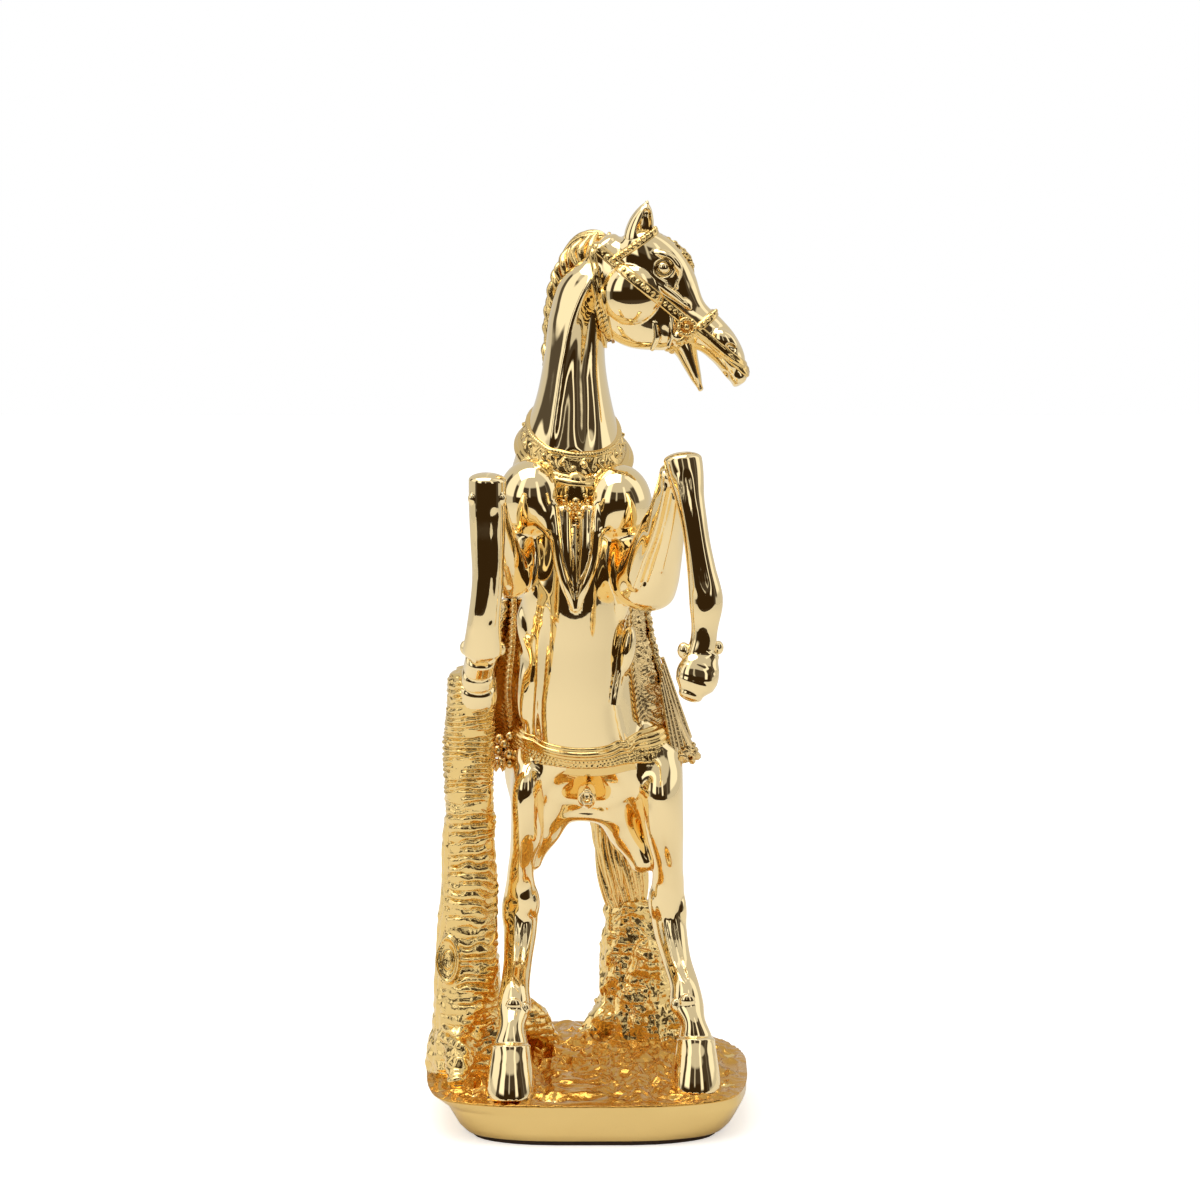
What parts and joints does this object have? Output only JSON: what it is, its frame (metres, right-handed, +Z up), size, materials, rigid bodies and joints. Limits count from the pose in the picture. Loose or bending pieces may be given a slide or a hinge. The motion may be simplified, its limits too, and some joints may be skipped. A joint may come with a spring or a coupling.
{
  "type": "rearing horse statue",
  "caption": "Gold plated statue of a rearing horse in bridle, breast collar and saddle cloth, beside a tree trunk on an oval ground base.",
  "frame": {"origin": "middle of the oval base at the underside of its felt, which is the resting plane", "axes": "+Z up, the horse's chest faces -Y, its head is turned to +X, the tree trunk is on its right side at -X"},
  "size_m": [0.1414, 0.1518, 0.391],
  "materials": {
    "mirror_gold": "cast resin, polished smooth and electroplated bright gold like a mirror",
    "rough_gold": "cast resin with a moulded bark and ground texture, electroplated gold",
    "cloth_gold": "cast resin moulded as fleece and pleated cloth, electroplated gold",
    "trim_gold": "cast resin straps, beads and hair in relief, electroplated gold",
    "felt": "thin dark felt sheet, glued on",
    "rod_steel": "plain drawn steel rod",
    "dowel_wood": "plain beech dowel"
  },
  "bodies": {
    "root": {"felt_pad": "felt", "plinth": "rough_gold", "tree_trunk": "rough_gold", "rear_stump": "rough_gold", "right_hind_leg": "mirror_gold", "left_hind_leg": "mirror_gold", "right_foreleg": "mirror_gold", "left_foreleg": "mirror_gold", "torso": "mirror_gold", "neck": "mirror_gold", "head": "mirror_gold", "lower_jaw": "mirror_gold", "right_ear": "mirror_gold", "left_ear": "mirror_gold", "forelock": "trim_gold", "mane": "trim_gold", "tail": "trim_gold", "noseband": "trim_gold", "headstall": "trim_gold", "browband": "trim_gold", "throatlatch": "trim_gold", "right_bit_ring": "trim_gold", "left_bit_ring": "trim_gold", "breast_collar": "trim_gold", "chest_pendant": "trim_gold", "belly_girth": "trim_gold", "fleece_pad": "cloth_gold", "saddle_cloth": "cloth_gold", "right_leg_rod": "rod_steel", "left_leg_rod": "rod_steel", "neck_dowel": "dowel_wood", "head_dowel": "dowel_wood", "right_foreleg_dowel": "dowel_wood", "left_foreleg_dowel": "dowel_wood", "tail_dowel": "dowel_wood", "trunk_dowel": "dowel_wood", "stump_dowel": "dowel_wood"}
  },
  "joints": []
}
